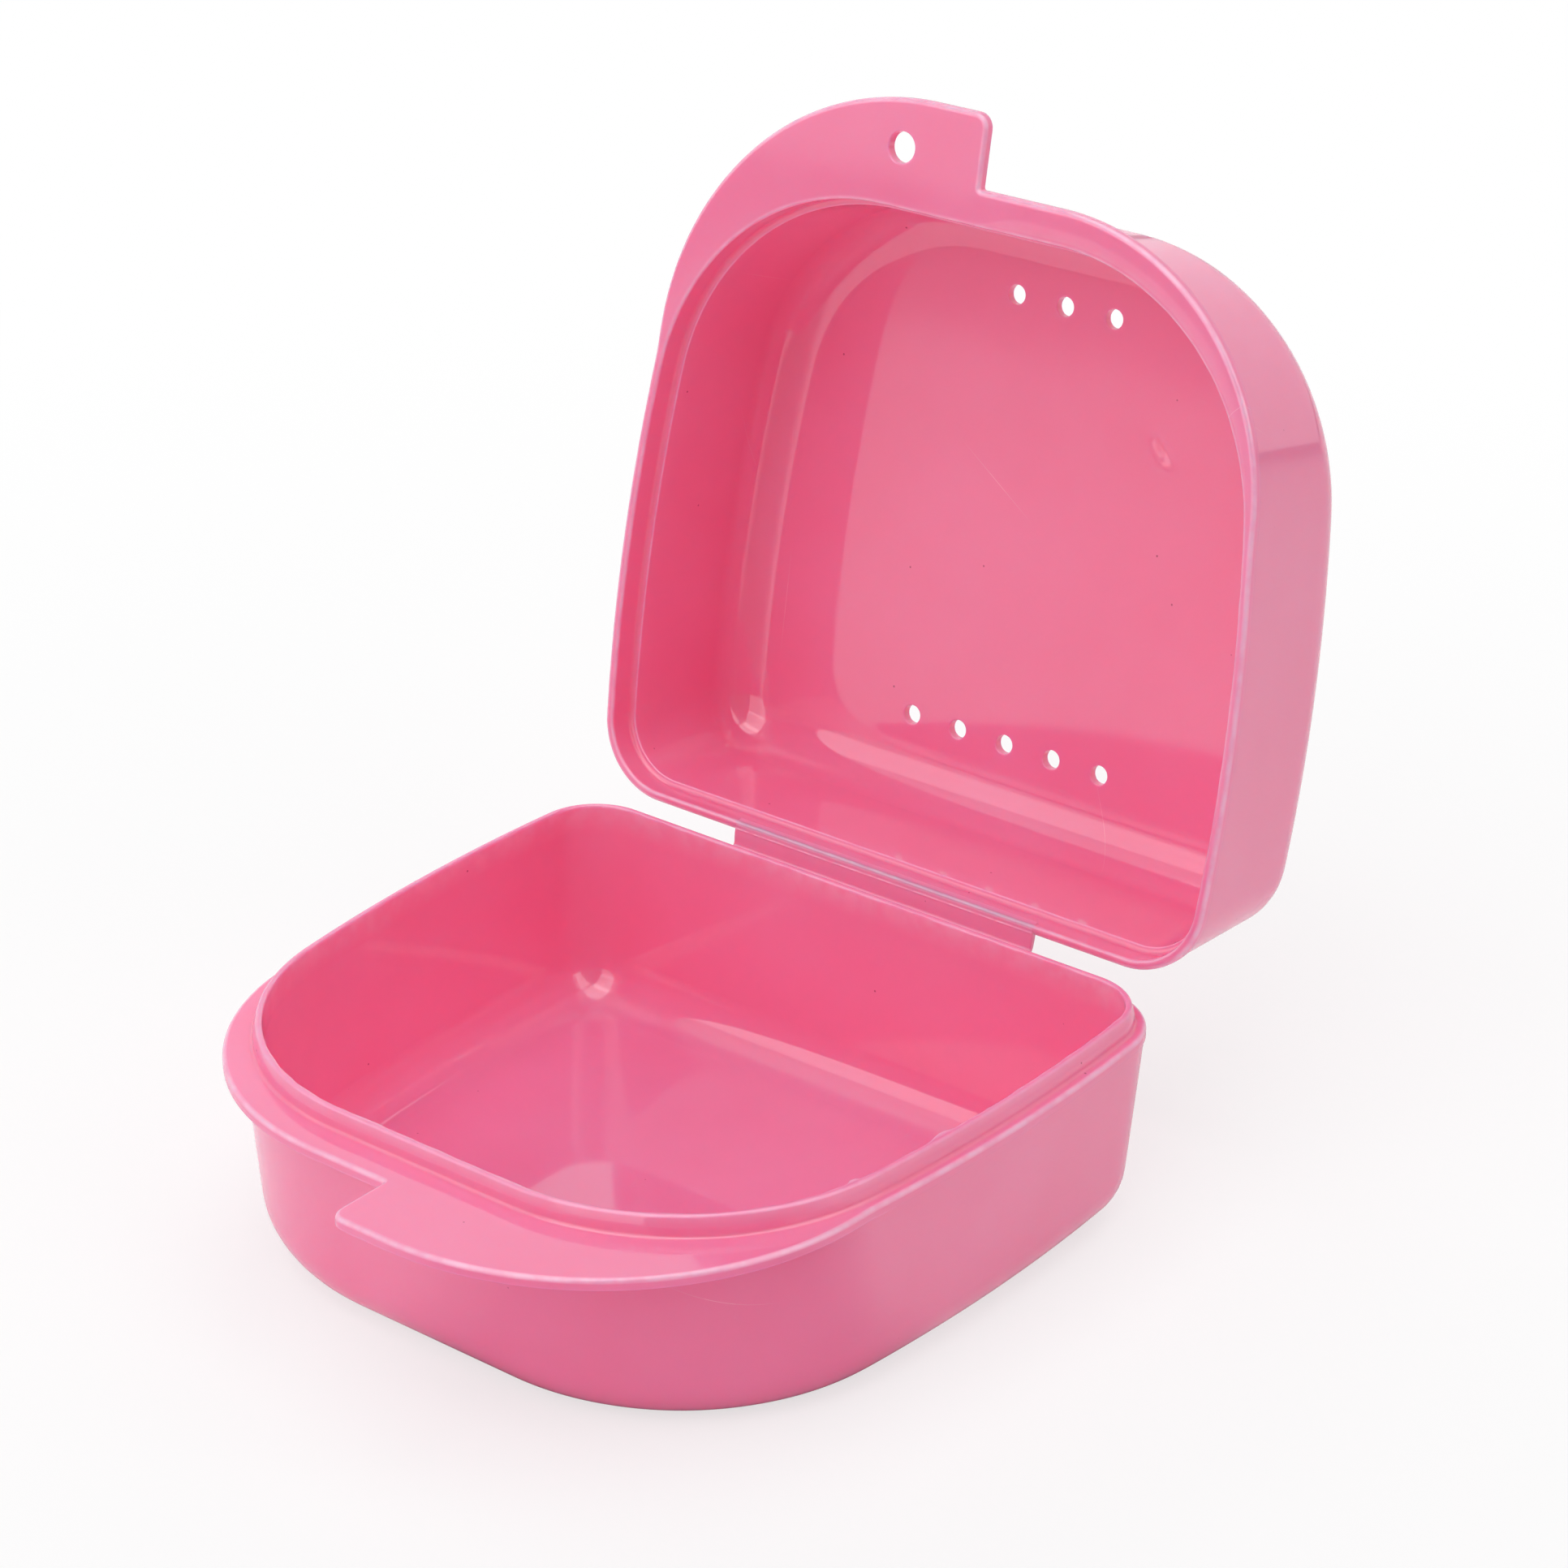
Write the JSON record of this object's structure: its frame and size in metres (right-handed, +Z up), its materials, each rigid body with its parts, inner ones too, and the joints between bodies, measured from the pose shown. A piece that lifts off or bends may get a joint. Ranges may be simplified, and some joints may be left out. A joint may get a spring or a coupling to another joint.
{
  "type": "orthodontic retainer case",
  "caption": "Shallow hinged case for a dental retainer: a tray base with a raised lip, a vented lid of the same outline, offset finger tabs and a lanyard hole, joined by a living hinge.",
  "frame": {"origin": "middle of the base's flat underside", "axes": "+Z up out of the open base, +Y towards the hinge, +X to the right seen from the front"},
  "size_m": [0.078, 0.1153, 0.1029],
  "materials": {
    "pink_plastic": "smooth glossy pink polypropylene, slightly translucent"
  },
  "bodies": {
    "base": {"base_tray": "pink_plastic", "base_tab_flange": "pink_plastic", "base_lip": "pink_plastic", "base_hinge_leaf": "pink_plastic", "hinge_film": "pink_plastic"},
    "lid": {"lid_hinge_leaf": "pink_plastic", "lid_tab_flange": "pink_plastic", "lid_shell": "pink_plastic"}
  },
  "joints": [
    {"name": "lid_hinge", "type": "hinge", "parent": "base", "child": "lid", "pos_m": [0, 0.03705, 0.02155], "axis": [-1, 0, 0], "range_deg": [-100, 80]}
  ]
}
